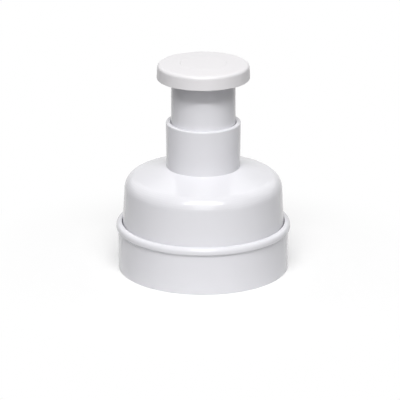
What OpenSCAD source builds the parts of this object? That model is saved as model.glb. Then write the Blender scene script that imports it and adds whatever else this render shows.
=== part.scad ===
// Adjustable patty press: a cup, a domed housing that stands in it, and a sprung plunger whose
// knob also turns a coarse screw that sets how far the press plate stops above the cup floor.
// Millimetres, +Z up, origin at the centre of the foot.

/* [Patty] */
// Diameter of the patty, which is the bore of the housing's skirt
patty_d = 114.3; // [104:0.1:120]
// Thickness of the thinnest patty
thin_patty = 6.35; // [5:0.05:9]
// Thickness of the thickest patty
thick_patty = 19.05; // [14:0.05:22]
// Travel of the plunger from rest to its stop
stroke = 31.75; // [27:0.25:38]

/* [Base cup] */
// Wall of the cup
cup_wall = 2.9; // [2:0.1:4]
// Height of the cup's rim above the table
cup_h = 36.2; // [30:0.1:40]
// Thickness of the cup's floor
floor_t = 2.2; // [1.6:0.1:4]
// Height of the foot ring under the floor
foot_h = 0.8; // [0.4:0.1:3]
// Width of the foot ring
foot_w = 7; // [4:0.5:12]
// Height of the bead round the cup's rim
lip_h = 5.9; // [5:0.1:9]
// How far the bead stands out of the cup's wall
lip_out = 1.5; // [0.8:0.1:2.5]
// Rounding of the bead's upper edge
lip_round = 3.2; // [1:0.1:3.4]
// Rise of the bead's underside from the cup's wall to the bead's edge
lip_rise = 1.2; // [0.6:0.1:1.6]
// Rounding of the cup's mouth
mouth_round = 0.8; // [0.5:0.1:1.1]
// Gap between the cup and the skirt that stands in it
skirt_gap = 0.45; // [0.3:0.05:0.8]

/* [Housing] */
// Wall of the skirt
skirt_wall = 3; // [2.4:0.1:4]
// Slope of the dome's wall from the vertical, in degrees
wall_draft = 3.16; // [1.6:0.01:4]
// Slope of the dome's inner wall, in degrees
bore_draft = 1.2; // [0.5:0.1:1.5]
// Outer radius of the dome's shoulder
shoulder_round = 10.8; // [6:0.1:12]
// Slope of the dome's roof from the horizontal, in degrees
roof_slope = 15.8; // [12:0.1:20]
// Thickness of the dome's roof
roof_t = 2.6; // [2:0.1:3.5]
// Height of the roof, where it meets the neck, above the guide plate's flange
roof_rise = 9.7; // [8.5:0.1:12]
// Wall of the neck at its rim
neck_wall = 2.75; // [2:0.05:4]
// Slope of the neck's outside from the vertical, in degrees
neck_draft = 0.6; // [0:0.1:1]
// Thickness of the inward lip that stops the plunger
neck_lip_t = 4.3; // [3:0.1:6]
// Rounding of the neck's rim
rim_round = 1.1; // [0.4:0.1:1.3]
// Number of ribs under the roof, of which three give way to screw bosses
roof_ribs = 12; // [6:3:15]
// Thickness of the ribs in all the mouldings
rib_t = 1.8; // [1.2:0.1:3]
// Radius of the three screw bosses under the roof
boss_r = 4.2; // [3.4:0.1:5]
// Distance of the screw bosses from the axis
boss_at = 36; // [35:0.5:38]

/* [Stem and knob] */
// Outside diameter of the stem sleeve at its foot
stem_d = 47.9; // [46:0.1:50]
// Wall of the stem sleeve at its foot
stem_wall = 2.2; // [1.8:0.1:2.6]
// Slope of the sleeve's outside from the vertical, in degrees
stem_draft = 0.3; // [0:0.05:0.5]
// Thickness of the flange at the sleeve's foot
stem_flange_t = 3; // [2:0.1:5]
// How far that flange stands out of the sleeve
stem_flange_out = 0.75; // [0.6:0.05:2]
// Thickness of the sleeve's end wall
stem_end_t = 3; // [2:0.1:5]
// Diameter of the knob at its lower edge
knob_d = 68.9; // [64:0.1:80]
// Gap that stays between knob and neck when the plunger is down
knob_gap = 1.75; // [1:0.05:5]
// How deep the sleeve stands in the knob
socket_h = 3.5; // [2.5:0.1:6]
// Wall of the socket that holds the sleeve
socket_wall = 2.2; // [1.6:0.1:3]
// How far the socket stays above the knob's lower edge; the knob's ribs stay twice as far
socket_up = 1; // [0.5:0.1:2]
// Wall of the knob
knob_wall = 2.4; // [1.8:0.1:3]
// Slope of the knob's side from the vertical, in degrees
knob_draft = 3.4; // [0:0.1:6]
// Rounding of the knob's upper edge
knob_round = 2.6; // [1:0.1:4]
// Rise of the knob's top from its edge to its middle
crown_h = 0.7; // [0.2:0.1:1.5]
// Thickness of the knob's web, which the screw clamps to the sleeve
web_t = 2.2; // [1.6:0.1:4]
// Radius of the screw pocket in the knob's top
pocket_r = 15; // [12:0.5:17]
// Radius of the cap that closes the pocket
cap_r = 17; // [16:0.5:20]
// Thickness of the cap at its edge
cap_t = 1.5; // [1:0.1:3]
// Height of the ring under the cap, which grips the pocket
cap_ring_h = 1.6; // [1:0.1:2.4]
// Width of that ring
cap_ring_w = 1.35; // [1:0.05:2]
// Number of ribs inside the knob
knob_ribs = 12; // [6:1:16]

/* [Press plate] */
// Gap between the plate and the bore at the plate's highest place
plate_gap = 0.4; // [0.3:0.05:1]
// Rounding of the plate's lower edge
plate_round = 1; // [0.5:0.1:2]
// Thickness of the plate's face
face_t = 3; // [2:0.1:4]
// Height of the plate's rim
rim_h = 8; // [6:0.1:8.5]
// Width of the plate's rim
rim_w = 2.4; // [1.8:0.1:4]
// Height of the plate's hub
hub_h = 5; // [4.6:0.1:6]
// Radius of the plate's hub
hub_r = 24; // [23:0.5:28]
// Number of ribs on the plate's back
plate_ribs = 9; // [6:3:15]
// Height of the rings that mark the patty
ridge_h = 0.5; // [0.2:0.1:0.8]
// Distance between these rings
ridge_pitch = 7; // [5:0.5:12]
// Width of a ring at its foot
ridge_w = 2.2; // [1.6:0.1:3]
// Width of a ring at its crest
crest_w = 0.6; // [0.2:0.1:1]

/* [Screw and lift tube] */
// Outside diameter of the spindle
spindle_d = 14; // [12:0.1:14.4]
// Radius of the collar at the spindle's top
spindle_collar_r = 8.6; // [8:0.1:9]
// Height of that collar
spindle_collar_h = 6; // [3:0.5:10]
// Corner radius of the hexagon that drives the spindle
drive_r = 6; // [5:0.1:6.5]
// Corner radius of the feed nut's hexagon
nut_r = 10.9; // [10.6:0.05:11]
// Length of the feed nut
nut_l = 20; // [14:0.5:24]
// Outside diameter of the lift tube
tube_d = 26; // [25.6:0.1:26.6]
// How far the three keys stand out of the lift tube
key_out = 1.2; // [0.8:0.1:1.3]
// Width of the keys
key_w = 4; // [3:0.1:6]
// Thickness of the tube's flange
tube_flange_t = 3.5; // [3:0.1:5]
// Radius of the tube's flange
tube_flange_r = 22; // [22:0.1:22.8]
// Distance of the plate's screws from the axis
plate_screw_at = 17.6; // [17.5:0.05:17.8]
// Angle from a key to the next of the plate's screws
plate_screw_turn = 60; // [50:5:70]
// How far the tube still stands above its collar at its lowest place
tube_rest = 1.5; // [0.5:0.1:3]
// Gap between the spindle's stop screw and the plate at the plate's highest place
stop_gap = 0.5; // [0.3:0.1:1.5]

/* [Guide plate] */
// Thickness of the guide plate's flange
guide_t = 3; // [2.5:0.1:4]
// Radius of that flange
guide_r = 30; // [28:0.5:31]
// Height of the spigot that centres the guide plate in the neck
spigot_h = 5.25; // [4.5:0.05:8]
// Height of the collar that guides the lift tube, above the spigot
collar_h = 10; // [6:0.5:16]
// Wall of that collar
collar_wall = 1.5; // [1.2:0.05:1.55]
// How far the lugs for its screws stand out round them
lug_wall = 3.2; // [2.4:0.1:3.6]
// Depth of the spring's seat in the spigot
seat_h = 2.75; // [1.5:0.05:3.5]
// Gap between the screw heads on the plate and the guide plate
guide_gap = 1.5; // [0.5:0.1:4]

/* [Spring and fasteners] */
// Diameter of the spring's wire
wire_d = 2.2; // [1.6:0.1:2.4]
// Number of turns of the spring
turns = 9; // [7:1:11]
// Gap between the spring and the collar inside it
coil_gap = 0.5; // [0.4:0.05:0.7]
// Gap between the spring and the wall of its seat
seat_gap = 0.7; // [0.5:0.05:0.8]
// Thickness of the steel seat under the spring
seat_washer_t = 0.8; // [0.5:0.1:1.5]
// Thickness of the thrust washer over the spring
thrust_t = 2; // [1.5:0.1:3]
// Height of the thrust washer's boss, which centres the spring
thrust_boss_h = 2; // [1:0.1:4]
// Diameter of the small screws
screw_d = 4; // [3:0.1:4.2]
// Length of the small screws
screw_l = 7; // [6.5:0.1:7.2]
// Head radius of the small screws
screw_head_r = 3.6; // [3:0.1:3.7]
// Head height of the small screws
screw_head_h = 2.2; // [1.5:0.1:2.6]
// Diameter of the knob's screw
knob_screw_d = 5; // [4:0.1:5.4]
// Length of the knob's screw
knob_screw_l = 14; // [10:0.5:20]
// Head radius of the knob's screw
knob_screw_head_r = 4.75; // [4:0.05:6]
// Head height of the knob's screw
knob_screw_head_h = 2.8; // [2:0.1:3.5]
// Thickness of the washer under the knob's screw
knob_washer_t = 1; // [0.6:0.1:2]
// Radius of that washer
knob_washer_r = 8; // [7:0.1:10]
// Thickness of the washer that keeps the spindle in the nut
stop_washer_t = 1.2; // [0.8:0.1:2]
// Length of the spindle's stop screw
stop_screw_l = 10; // [8:0.5:16]

/* [Fits] */
// Gap round parts that slide or turn loosely
loose = 0.3; // [0.3:0.01:0.4]
// Gap on each side of a key
key_gap = 0.2; // [0.15:0.01:0.3]
// Radial clearance of the guided lift tube and of the thread
running = 0.08; // [0.04:0.01:0.1]
// Gap between parts that are bonded, pressed or screwed together
snug = 0.05; // [0.02:0.01:0.1]
// Space left beyond the tip of a screw
tip_gap = 0.5; // [0.3:0.1:0.8]
// Rounding of the mouldings' plain edges
edge = 0.5; // [0.3:0.1:0.6]
// Rounding on both sides of the seam between knob and cap
cap_edge = 0.15; // [0.1:0.05:0.5]

/* [Hidden] */
smooth = 96;                                    // facets of a turned form
fine = 36;                                      // facets of a small round form
spring_sides = 6;                               // facets round the spring's wire
spring_steps = 20;                              // rings in a turn of the spring
cut = 1;                                        // how far a cut runs past the face it opens
root = 1;                                       // how deep a rib is rooted in its wall

white = [0.93, 0.93, 0.94];
warm_white = [0.95, 0.94, 0.93];
natural = [0.88, 0.88, 0.84];
steel = [0.72, 0.73, 0.75];

// Radii, from the patty outwards
patty_r = patty_d / 2;
skirt_r = patty_r + skirt_wall;
cup_bore_r = skirt_r + skirt_gap;
cup_r = cup_bore_r + cup_wall;
lip_r = cup_r + lip_out;
lip_z = cup_h - lip_h - lip_rise / 4;

// Radii, from the spindle outwards
spindle_r = spindle_d / 2;
stop_washer_r = spindle_collar_r - loose;
tube_r = tube_d / 2;
key_r = tube_r + key_out;
keyway_r = key_r + loose;
collar_r = keyway_r + collar_wall;
wire_r = wire_d / 2;
coil_r = collar_r + coil_gap + wire_r;          // to the middle of the wire
stem_r = stem_d / 2;
stem_bore_r = stem_r - stem_wall;
flange_r = stem_r + stem_flange_out;
neck_lip_r = stem_r + loose;
neck_bore_r = flange_r + loose;
neck_r = neck_bore_r + neck_wall;               // outside of the neck at its rim
neck_foot_r = neck_r - edge;                    // outside of the neck below the roof
seat_r = coil_r + wire_r + seat_gap;            // outside of the spring's seat
knob_r = knob_d / 2;
socket_r = stem_r + socket_wall;                // outside of the knob's socket
lug_r = screw_d / 2 + lug_wall;

// Heights at rest, from the table up; the plate is half way between its two settings
floor_z = foot_h + floor_t;
low_z = floor_z + thin_patty + stroke;
high_z = floor_z + thick_patty + stroke;
face_z = (low_z + high_z) / 2;
guide_z = high_z + hub_h + tube_flange_t + screw_head_h + guide_gap;
guide_top = guide_z + guide_t;
stop_z = guide_top + spigot_h;
seat_z = stop_z - seat_h;
collar_top = stop_z + collar_h;
root_z = guide_top + roof_rise;
flange_z = stop_z + stroke;
neck_lip_z = flange_z + stem_flange_t;
neck_z = neck_lip_z + neck_lip_t;
knob_z = neck_z + stroke + knob_gap;
stem_end_z = knob_z + socket_h;
thrust_z = stem_end_z - stem_end_t - thrust_t;
web_z = stem_end_z + web_t;
cap_z = web_z + knob_washer_t + knob_screw_head_h + loose;
knob_top = cap_z + cap_t;
hub_z = face_z + hub_h;
spindle_z = high_z + face_t + stop_gap + screw_head_h + stop_washer_t;
nut_z = face_z + spindle_z + loose - low_z;     // the nut meets the stop washer at the thin end
tube_top = face_z + collar_top + tube_rest - floor_z - thin_patty;

// Shape of the dome, as functions of radius and height
function wall_r(z) = skirt_r - (z - cup_h) * tan(wall_draft);
function bore_r(z) = patty_r - max(0, z - cup_h) * tan(bore_draft);
root_r = neck_r - (neck_z - root_z) * tan(neck_draft);
function roof_z(r) = root_z - (r - root_r) * tan(roof_slope);
roof_drop = roof_t / cos(roof_slope);
corner_z = (roof_z(skirt_r) - cup_h * tan(wall_draft) * tan(roof_slope))
         / (1 - tan(wall_draft) * tan(roof_slope));
inner_corner_z = (roof_z(patty_r) - roof_drop - cup_h * tan(bore_draft) * tan(roof_slope))
               / (1 - tan(bore_draft) * tan(roof_slope));
plate_r = bore_r(high_z + rim_h) - plate_gap;

// Unit vector along v
function unit(v) = v / norm(v);

// Points of one corner b = [x, y, radius] of a path that comes from a and goes on to c
function corner(a, b, c, steps = 8) =
    let (p = [b[0], b[1]],
         u = unit([a[0], a[1]] - p),
         v = unit([c[0], c[1]] - p),
         half = acos(u * v) / 2)
    b[2] == 0 ? [p] :
    let (centre = p + unit(u + v) * b[2] / sin(half),
         from = p + u * b[2] / tan(half) - centre,
         to = p + v * b[2] / tan(half) - centre,
         start = atan2(from[1], from[0]),
         sweep = atan2(from[0] * to[1] - from[1] * to[0], from * to))
    [for (i = [0:steps]) centre + b[2] * [cos(start + sweep * i / steps),
                                          sin(start + sweep * i / steps)]];

// A closed path of [x, y, radius] corners with each corner rounded
function rounded(path) =
    let (n = len(path))
    [for (i = [0:n - 1]) each corner(path[(i + n - 1) % n], path[i], path[(i + 1) % n])];

// Corners of low rings on a face at height z: up is 1 for rings on top of it, -1 for below
function rings(z, up, first, last) =
    [for (r = [first:ridge_pitch:last], p = [[-ridge_w, 0], [-crest_w, 1], [crest_w, 1], [ridge_w, 0]])
        [r + p[0] / 2, z + up * ridge_h * p[1], 0]];

// The list from its end to its start
function reversed(list) = [for (i = [len(list) - 1:-1:0]) list[i]];

// A turned solid from half its section
module turned(path) {
    rotate_extrude($fn = smooth) polygon(rounded(path));
}

// A flat ring, from radius inner to outer and from z up by h
module ring(inner, outer, z, h) {
    turned([[inner, z, 0], [outer, z, 0], [outer, z + h, 0], [inner, z + h, 0]]);
}

// Copies of a child at n places round the axis, r away from it
module around(n, r, first = 0) {
    for (i = [0:n - 1]) rotate(first + 360 * i / n) translate([r, 0, 0]) children();
}

// A bore of radius r from z up by h
module bore(r, z, h) {
    translate([0, 0, z]) cylinder(r = r, h = h, $fn = fine);
}

// A pan-head screw whose head sits on z and whose shank points down
module pan_screw(shank_r, length, head_r, head_h) {
    rotate_extrude($fn = fine)
        polygon(rounded([[0, -length, 0], [shank_r / 2, -length, 0], [shank_r, shank_r / 2 - length, 0],
                         [shank_r, 0, 0], [head_r, 0, 0], [head_r, head_h, head_h / 2], [0, head_h, 0]]));
}

// The keyed section of the lift tube, or of the hole that it slides in
module keyed(tube, key, width) {
    circle(r = tube, $fn = smooth);
    intersection() {
        circle(r = key, $fn = smooth);
        for (i = [0:2]) rotate(120 * i) translate([0, -width / 2]) square([key + cut, width]);
    }
}

module base_cup() {
    color(white)
    turned(concat(
        [[0, foot_h, 0], [cup_r - foot_w, foot_h, edge], [cup_r - foot_w, 0, 0], [cup_r, 0, edge],
         [cup_r, lip_z, edge], [lip_r, lip_z + lip_rise, lip_out],
         [lip_r, cup_h, lip_round], [cup_bore_r, cup_h, mouth_round], [cup_bore_r, floor_z, edge]],
        reversed(rings(floor_z, 1, ridge_pitch, patty_r - ridge_w)),
        [[0, floor_z, 0]]));
}

// The dome with its skirt and neck
module housing_shell() {
    turned([[patty_r, floor_z, edge], [skirt_r, floor_z, edge], [skirt_r, cup_h, 0],
            [wall_r(corner_z), corner_z, shoulder_round],
            [root_r, root_z, edge],
            [neck_r, neck_z, rim_round], [neck_lip_r, neck_z, rim_round],
            [neck_lip_r, neck_lip_z, 0], [neck_bore_r, neck_lip_z, 0],
            [neck_bore_r, guide_top, edge], [neck_foot_r, guide_top, edge],
            [neck_foot_r, roof_z(neck_foot_r) - roof_drop, edge],
            [bore_r(inner_corner_z), inner_corner_z, shoulder_round - roof_t],
            [patty_r, cup_h, 0]]);
}

// A rib of thickness rib_t that stands on the axis, from its outline as radius and height
module rib(outline) {
    translate([0, rib_t / 2, 0]) rotate([90, 0, 0]) linear_extrude(rib_t) polygon(outline);
}

// Radial ribs between the neck and the dome's shoulder, under the roof and above the guide plate
module housing_ribs() {
    inside = neck_r - root;
    reach = min(wall_r(corner_z) - shoulder_round, root_r + (roof_rise - roof_drop) / tan(roof_slope));
    for (i = [0:roof_ribs - 1]) if (i % (roof_ribs / 3) != 0) rotate(360 * i / roof_ribs)
        rib([[inside, guide_top], [reach, guide_top],
             [reach, roof_z(reach) - roof_drop / 2], [inside, root_z - roof_drop / 2]]);
}

module housing() {
    color(white) difference() {
        union() {
            housing_shell();
            housing_ribs();
            around(3, boss_at) translate([0, 0, guide_top])
                cylinder(r = boss_r, h = roof_z(boss_at + boss_r) - snug - guide_top, $fn = fine);
        }
        around(3, boss_at) bore(screw_d / 2 + snug, guide_top - cut, screw_l - guide_t + cut + tip_gap);
    }
}

module guide_plate() {
    color(natural) difference() {
        union() {
            turned([[tube_r - cut, guide_z, 0], [guide_r, guide_z, edge], [guide_r, guide_top, edge],
                    [neck_bore_r - snug, guide_top, 0], [neck_bore_r - snug, stop_z, edge],
                    [seat_r, stop_z, 0], [seat_r, seat_z, 0], [collar_r, seat_z, 0],
                    [collar_r, collar_top, edge], [tube_r - cut, collar_top, 0]]);
            around(3, boss_at) translate([0, 0, guide_z]) cylinder(r = lug_r, h = guide_t, $fn = fine);
            around(3, boss_at) translate([-boss_at / 2, -lug_r, guide_z])
                cube([boss_at / 2, 2 * lug_r, guide_t]);
        }
        translate([0, 0, guide_z - cut]) linear_extrude(collar_top - guide_z + 2 * cut)
            keyed(tube_r + running, keyway_r, key_w + 2 * key_gap);
        around(3, boss_at) bore(screw_d / 2 + snug, guide_z - cut, guide_t + 2 * cut);
    }
}

module guide_screws() {
    color(steel) around(3, boss_at) translate([0, 0, guide_z]) mirror([0, 0, 1])
        pan_screw(screw_d / 2, screw_l, screw_head_r, screw_head_h);
}

module spring_seat() {
    color(steel) ring(collar_r + snug, seat_r - snug, seat_z, seat_washer_t);
}

// Height of the wire's middle after t turns; the first and the last turn lie closed
function coil_z(t, length) =
    let (closed = wire_d + 2 * snug,
         spare = length - closed * turns,
         share = min(1, max(0, (t - 1) / (turns - 2))))
    closed * t + spare * share;

module return_spring() {
    bottom = seat_z + seat_washer_t + wire_r + snug;
    length = thrust_z - wire_r - snug - bottom;
    count = turns * spring_steps;
    points = [for (i = [0:count], j = [0:spring_sides - 1])
        let (turn = 360 * i / spring_steps, side = 360 * (j + 1 / 2) / spring_sides,
             r = coil_r + wire_r * cos(side))
        [r * cos(turn), r * sin(turn),
         bottom + coil_z(i / spring_steps, length) + wire_r * sin(side)]];
    skin = [for (i = [0:count - 1], j = [0:spring_sides - 1])
        let (a = i * spring_sides + j, b = i * spring_sides + (j + 1) % spring_sides)
        [a, a + spring_sides, b + spring_sides, b]];
    ends = [[for (j = [0:spring_sides - 1]) j],
            [for (j = [spring_sides - 1:-1:0]) count * spring_sides + j]];
    color(steel) polyhedron(points, concat(skin, ends), convexity = 10);
}

module thrust_washer() {
    color(natural)
    turned([[spindle_collar_r + loose, thrust_z - thrust_boss_h, 0],
            [collar_r, thrust_z - thrust_boss_h, edge], [collar_r, thrust_z, 0],
            [stem_bore_r - loose, thrust_z, edge], [stem_bore_r - loose, thrust_z + thrust_t, 0],
            [spindle_collar_r + loose, thrust_z + thrust_t, 0]]);
}

module stem_sleeve() {
    top_r = stem_r - (stem_end_z - flange_z) * tan(stem_draft);
    inside_z = stem_end_z - stem_end_t;
    color(white) difference() {
        turned([[0, stem_end_z, 0], [0, inside_z, 0], [stem_bore_r, inside_z, loose - snug],
                [stem_bore_r, flange_z, edge], [flange_r, flange_z, edge],
                [flange_r, flange_z + stem_flange_t, 0], [stem_r, flange_z + stem_flange_t, 0],
                [top_r, stem_end_z, edge]]);
        translate([0, 0, inside_z - cut])
            cylinder(r = drive_r + snug, h = stem_end_t + 2 * cut, $fn = 6);
    }
}

module palm_knob() {
    edge_z = knob_top - crown_h;
    edge_r = knob_r - (edge_z - knob_z) * tan(knob_draft);
    under_z = edge_z - knob_wall;
    rib_z = knob_z + 2 * socket_up;
    color(warm_white) difference() {
        union() {
            turned([[0, web_z, 0], [0, stem_end_z, 0], [pocket_r + knob_wall, stem_end_z, 0],
                    [pocket_r + knob_wall, under_z, edge], [stem_r + snug, under_z, edge],
                    [stem_r + snug, knob_z + socket_up, edge], [socket_r, knob_z + socket_up, edge],
                    [socket_r, under_z, edge], [edge_r - knob_wall, under_z, knob_wall / 2],
                    [knob_r - knob_wall, knob_z, edge], [knob_r, knob_z, edge],
                    [edge_r, edge_z, knob_round], [cap_r + snug, knob_top, cap_edge],
                    [cap_r + snug, cap_z, 0], [pocket_r, cap_z, 0], [pocket_r, web_z, edge]]);
            for (i = [0:knob_ribs - 1]) rotate(360 * i / knob_ribs)
                rib([[socket_r - root, rib_z], [edge_r - knob_wall + root, rib_z],
                     [edge_r - knob_wall + root, under_z + root], [socket_r - root, under_z + root]]);
        }
        translate([0, 0, stem_end_z - cut]) cylinder(r = drive_r + snug, h = web_t + 2 * cut, $fn = 6);
    }
}

module knob_cap() {
    ring_r = pocket_r - loose;
    color(warm_white)
    turned([[0, cap_z, 0], [ring_r - cap_ring_w, cap_z, 0], [ring_r - cap_ring_w, cap_z - cap_ring_h, 0],
            [ring_r, cap_z - cap_ring_h, cap_edge], [ring_r, cap_z, 0], [cap_r, cap_z, 0],
            [cap_r, knob_top, cap_edge], [0, knob_top, 0]]);
}

module knob_washer() {
    color(steel) ring(knob_screw_d / 2 + snug, knob_washer_r, web_z, knob_washer_t);
}

module knob_screw() {
    color(steel) translate([0, 0, web_z + knob_washer_t])
        pan_screw(knob_screw_d / 2, knob_screw_l, knob_screw_head_r, knob_screw_head_h);
}

module spindle() {
    shoulder_z = stem_end_z - stem_end_t;
    color(natural) difference() {
        union() {
            turned([[0, spindle_z, 0], [spindle_r, spindle_z, edge],
                    [spindle_r, shoulder_z - spindle_collar_h, 0],
                    [spindle_collar_r, shoulder_z - spindle_collar_h, edge],
                    [spindle_collar_r, shoulder_z, 0], [0, shoulder_z, 0]]);
            translate([0, 0, shoulder_z - root])
                cylinder(r = drive_r, h = web_z - loose - shoulder_z + root, $fn = 6);
        }
        translate([0, 0, web_z + knob_washer_t]) mirror([0, 0, 1])
            bore(knob_screw_d / 2 + snug, 0, knob_screw_l + tip_gap);
        bore(screw_d / 2 + snug, spindle_z - cut, stop_screw_l - stop_washer_t + cut + tip_gap);
    }
}

module stop_washer() {
    color(steel) ring(screw_d / 2 + snug, stop_washer_r, spindle_z - stop_washer_t, stop_washer_t);
}

module stop_screw() {
    color(steel) translate([0, 0, spindle_z - stop_washer_t]) mirror([0, 0, 1])
        pan_screw(screw_d / 2, stop_screw_l, screw_head_r, screw_head_h);
}

module feed_nut() {
    color(natural) difference() {
        translate([0, 0, nut_z]) cylinder(r = nut_r, h = nut_l, $fn = 6);
        bore(spindle_r + running, nut_z - cut, nut_l + 2 * cut);
    }
}

module lift_tube() {
    color(natural) difference() {
        union() {
            translate([0, 0, hub_z]) linear_extrude(tube_top - hub_z) keyed(tube_r, key_r, key_w);
            ring(tube_r - root, tube_flange_r, hub_z, tube_flange_t);
        }
        bore(spindle_collar_r, hub_z - cut, nut_z - hub_z + 2 * cut);
        translate([0, 0, nut_z]) cylinder(r = nut_r + snug, h = tube_top - nut_z + cut, $fn = 6);
        around(3, plate_screw_at, plate_screw_turn)
            bore(screw_d / 2 + snug, hub_z - cut, tube_flange_t + 2 * cut);
    }
}

module press_plate() {
    back_z = face_z + face_t;
    color(white) difference() {
        union() {
            turned(concat(
                [[0, face_z, 0]],
                rings(face_z, -1, ridge_pitch, plate_r - ridge_w),
                [[plate_r, face_z, plate_round], [plate_r, face_z + rim_h, edge],
                 [plate_r - rim_w, face_z + rim_h, edge], [plate_r - rim_w, back_z, edge],
                 [hub_r, back_z, edge], [hub_r, hub_z, edge],
                 [spindle_collar_r, hub_z, 0], [spindle_collar_r, back_z, 0], [0, back_z, 0]]));
            for (i = [0:plate_ribs - 1]) rotate(360 * (i + 1 / 2) / plate_ribs)
                rib([[hub_r - root, back_z - root], [plate_r - rim_w / 2, back_z - root],
                     [plate_r - rim_w / 2, face_z + rim_h - root], [hub_r - root, hub_z - edge]]);
        }
        around(3, plate_screw_at, plate_screw_turn)
            bore(screw_d / 2 + snug, hub_z + tube_flange_t - screw_l - tip_gap, screw_l);
    }
}

module plate_screws() {
    color(steel) around(3, plate_screw_at, plate_screw_turn) translate([0, 0, hub_z + tube_flange_t])
        pan_screw(screw_d / 2, screw_l, screw_head_r, screw_head_h);
}

base_cup();
housing();
guide_plate();
guide_screws();
spring_seat();
return_spring();
thrust_washer();
stem_sleeve();
palm_knob();
knob_cap();
knob_screw();
knob_washer();
spindle();
stop_washer();
stop_screw();
feed_nut();
lift_tube();
press_plate();
plate_screws();
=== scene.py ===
"""Finishes, fine hardware, studio and camera for an adjustable patty press.

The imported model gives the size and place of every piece, in metres. The mouldings keep their modelled
shape and get their plastic here. The spring, the screws, the washers, the spindle and its nut are made
here as finer meshes, and each stands in the place of the plain solid that it replaces. Lengths in this
file are in millimetres, except where metres are named, and MM turns them to Blender's metres.
"""
import logging
import math
from collections.abc import Callable
from dataclasses import dataclass, field
from enum import Enum
from typing import Any

import bmesh
import bpy
from bpy.types import Material, Mesh, Node, NodeSocket, NodeTree, Object
from mathutils import Matrix, Vector


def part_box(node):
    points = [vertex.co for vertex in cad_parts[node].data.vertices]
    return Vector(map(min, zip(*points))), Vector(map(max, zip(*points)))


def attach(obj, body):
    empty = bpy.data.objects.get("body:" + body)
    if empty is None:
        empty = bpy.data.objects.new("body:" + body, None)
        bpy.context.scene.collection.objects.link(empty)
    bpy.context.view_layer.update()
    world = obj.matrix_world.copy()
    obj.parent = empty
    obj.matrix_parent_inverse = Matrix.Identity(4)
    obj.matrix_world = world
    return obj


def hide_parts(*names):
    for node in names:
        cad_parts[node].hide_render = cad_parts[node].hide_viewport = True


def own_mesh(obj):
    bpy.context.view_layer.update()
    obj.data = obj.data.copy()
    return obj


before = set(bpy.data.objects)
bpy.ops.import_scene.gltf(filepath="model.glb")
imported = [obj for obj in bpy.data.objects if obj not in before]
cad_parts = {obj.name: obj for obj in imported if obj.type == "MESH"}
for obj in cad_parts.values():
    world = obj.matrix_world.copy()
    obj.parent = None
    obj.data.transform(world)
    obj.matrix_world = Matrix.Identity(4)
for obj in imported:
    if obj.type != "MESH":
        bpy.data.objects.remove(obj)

MM = 0.001
MICRON = 0.000001
HAIR = 0.01  # a step that only keeps two rings apart
SEED = 7
log = logging.getLogger("patty_press")

Radius = Callable[[float], float]


class Lathe(Enum):
    """How the rings of a turned mesh end: in a pole at each end, or in the ring that they began with."""

    POLES = "poles"
    HOOP = "hoop"


class Slot(Enum):
    """The material slots of the record, which say what each piece is made of."""

    SHELL = "white_shell"
    KNOB = "white_knob"
    PLATE = "white_plate"
    ACETAL = "natural_acetal"
    SPRING = "spring_steel"
    STAINLESS = "stainless_steel"


def linear(code: str) -> tuple[float, float, float, float]:
    """Turn an sRGB colour into the linear colour that shaders take.

    Args:
        code: Six hex digits with a leading #.

    Returns:
        Linear red, green, blue and an alpha of 1.
    """
    parts = [int(code[i:i + 2], 16) / 255 for i in (1, 3, 5)]
    values = [p / 12.92 if p <= 0.04045 else ((p + 0.055) / 1.055) ** 2.4 for p in parts]
    return values[0], values[1], values[2], 1.0


def add_node(
    tree: NodeTree, kind: str, inputs: dict[str | int, Any] | None = None, **settings: Any
) -> Node:
    """Add one node to a tree, with its settings, its values and its links.

    Args:
        tree: The tree of a material, world or Geometry Nodes group.
        kind: Blender's type name of the node.
        inputs: Socket name or number against a value, or against the output or the node that feeds it;
            a node feeds it from its first output.
        **settings: Properties of the node itself.

    Returns:
        The new node.
    """
    node = tree.nodes.new(kind)
    for key, value in settings.items():
        setattr(node, key, value)
    for key, value in (inputs or {}).items():
        if isinstance(value, Node):
            value = value.outputs[0]
        if isinstance(value, NodeSocket):
            tree.links.new(value, node.inputs[key])
        else:
            node.inputs[key].default_value = value
    return node


def new_material(name: str) -> tuple[Material, NodeTree]:
    """Make an empty node material.

    Args:
        name: The material's name.

    Returns:
        The material and its tree.
    """
    material = bpy.data.materials.new(name)
    material.use_nodes = True
    material.node_tree.nodes.clear()
    return material, material.node_tree


# Finishes


@dataclass(frozen=True)
class Finish:
    """What a surface is made of and how it was made.

    Attributes:
        name: The material and its process.
        slot: The record's slot that it belongs to; not used.
    """

    name: str
    slot: Slot

    def material(self) -> Material:
        """Get this finish's node material, which is made on first use.

        Returns:
            The material.
        """
        known = bpy.data.materials.get(self.name)
        if known:
            return known
        material, tree = new_material(self.name)
        add_node(tree, "ShaderNodeOutputMaterial", {"Surface": self.shade(tree)})
        return material

    def shade(self, tree: NodeTree) -> Node:
        """Add the nodes of this finish to a tree and return the shader node that they end in."""
        raise NotImplementedError


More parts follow.
